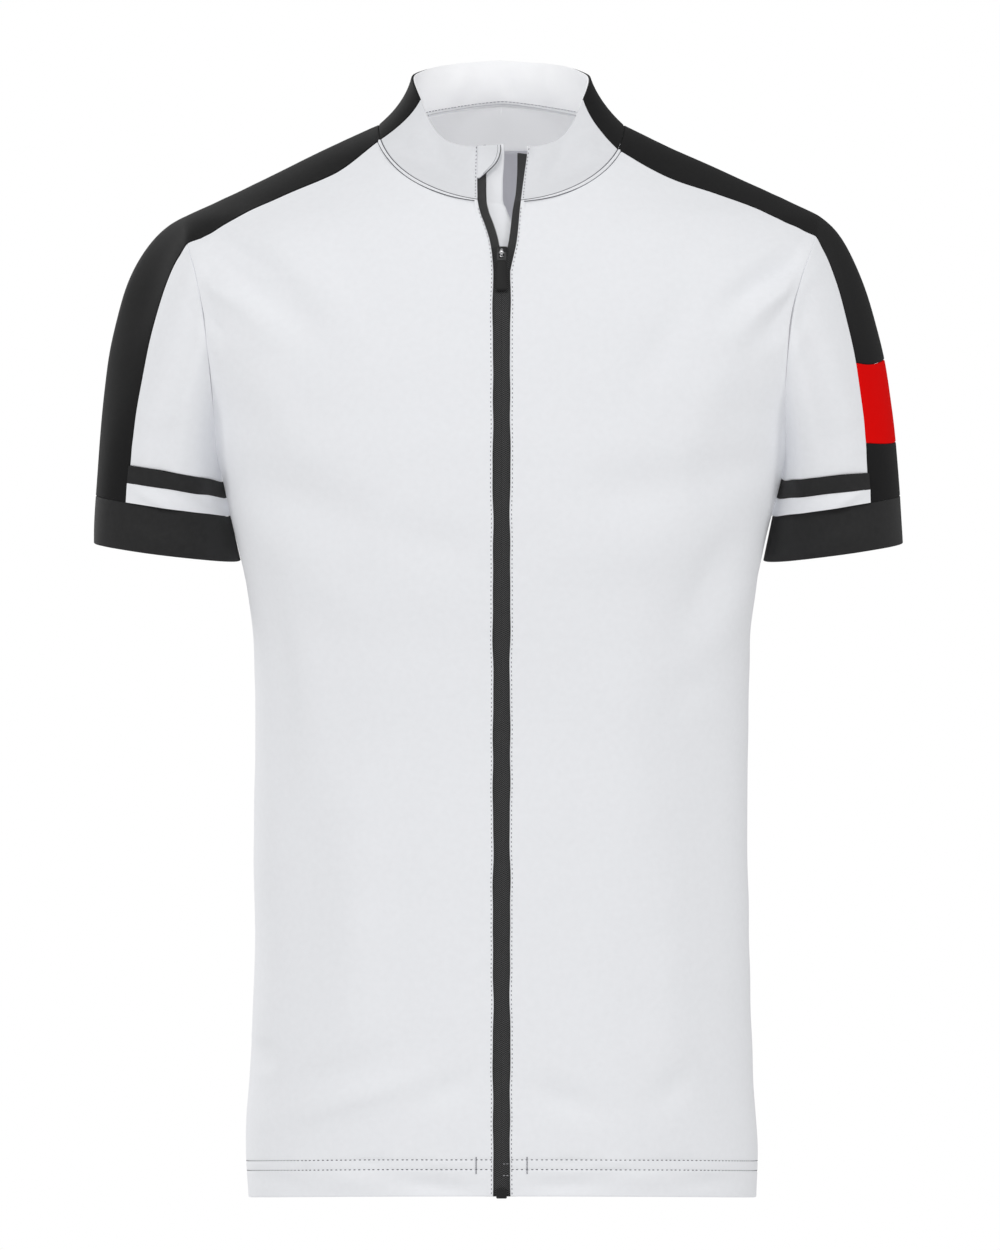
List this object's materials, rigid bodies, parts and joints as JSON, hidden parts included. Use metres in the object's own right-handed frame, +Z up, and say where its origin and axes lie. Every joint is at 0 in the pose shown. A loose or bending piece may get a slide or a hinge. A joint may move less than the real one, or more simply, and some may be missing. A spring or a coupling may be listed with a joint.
{
  "type": "cycling jersey",
  "caption": "Short-sleeved stand-collar cycling jersey with a full front zip, contrast shoulder stripes and sleeve trims, filled out as worn.",
  "frame": {"origin": "level with the high shoulder points, on the centre line between chest and back, where the wearer's shoulders carry it", "axes": "+Z up along the trunk, the chest faces -Y, the wearer's left side is +X"},
  "size_m": [0.5323, 0.234, 0.7539],
  "materials": {
    "white_knit": "fine white polyester knit, soft sheen",
    "black_knit": "smooth black polyester knit",
    "red_knit": "smooth red polyester knit",
    "zip_tape": "black woven twill tape",
    "label": "bare grey printed patch",
    "slider_metal": "gunmetal zip slider",
    "pull_rubber": "matt black rubber",
    "box_plastic": "matt black plastic"
  },
  "bodies": {
    "garment": {"front_right": "white_knit", "front_left": "white_knit", "back": "white_knit", "stripe_right": "black_knit", "stripe_left": "black_knit", "accent_block": "red_knit", "stripe_left_lower": "black_knit", "sleeve_right": "white_knit", "sleeve_left": "white_knit", "band_right": "black_knit", "band_left": "black_knit", "inset_right": "white_knit", "inset_left": "white_knit", "cuff_right": "black_knit", "cuff_left": "black_knit", "collar_front_right": "white_knit", "collar_front_left": "white_knit", "collar_side_right": "black_knit", "collar_side_left": "black_knit", "collar_back": "white_knit", "collar_facing": "white_knit", "zip_tape_right": "zip_tape", "zip_tape_left": "zip_tape", "zip_guard": "white_knit", "zip_garage": "white_knit", "neck_label": "label", "zip_slider": "slider_metal", "zip_box": "box_plastic"},
    "pull_tab": {"zip_pull": "pull_rubber"}
  },
  "joints": [
    {"name": "pull_hinge", "type": "hinge", "parent": "garment", "child": "pull_tab", "pos_m": [0, -0.10106, -0.08465], "axis": [-1, 0, 0], "range_deg": [0, 160]}
  ]
}
